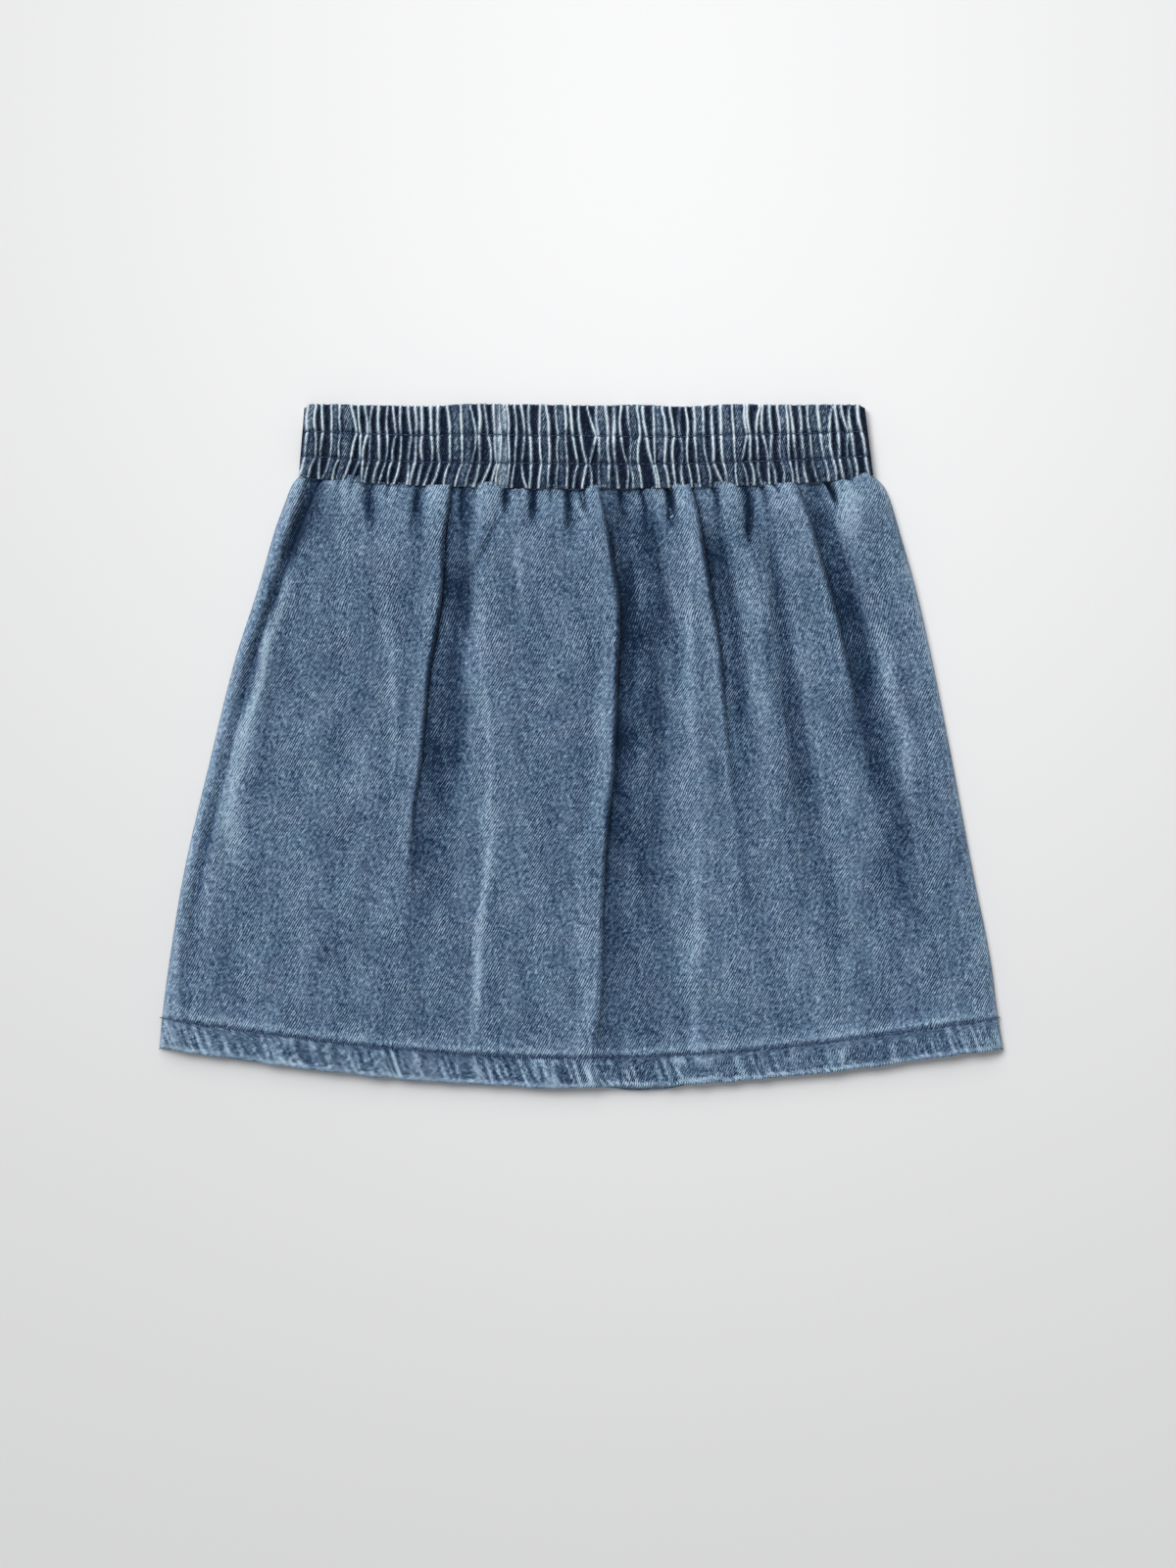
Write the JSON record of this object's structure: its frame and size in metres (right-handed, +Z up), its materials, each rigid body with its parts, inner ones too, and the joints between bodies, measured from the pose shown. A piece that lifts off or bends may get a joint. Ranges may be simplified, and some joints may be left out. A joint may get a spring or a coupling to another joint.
{
  "type": "denim skirt",
  "caption": "Child's pull-on A-line denim skirt laid flat, with a gathered elasticated waistband, soft folds and a turned-up hem.",
  "frame": {"origin": "centre of the laid skirt's footprint, on the surface that its back rests on", "axes": "+X to the right of someone looking down on the front, +Y towards the waistband, +Z up, out of the front"},
  "size_m": [0.344, 0.279, 0.0089],
  "materials": {
    "denim": "mid-blue stone-washed cotton twill denim, matt, with paler worn ridges and darker troughs",
    "gathered_denim": "the same denim gathered on elastic, deep indigo in the valleys and worn nearly white on the crests",
    "denim_inside": "the paler weft side of the denim, on the turned-up hem"
  },
  "bodies": {
    "root": {"front_panel": "denim", "back_panel": "denim", "front_waistband": "gathered_denim", "back_waistband": "gathered_denim", "front_hem_turn": "denim_inside", "back_hem_turn": "denim_inside"}
  },
  "joints": []
}
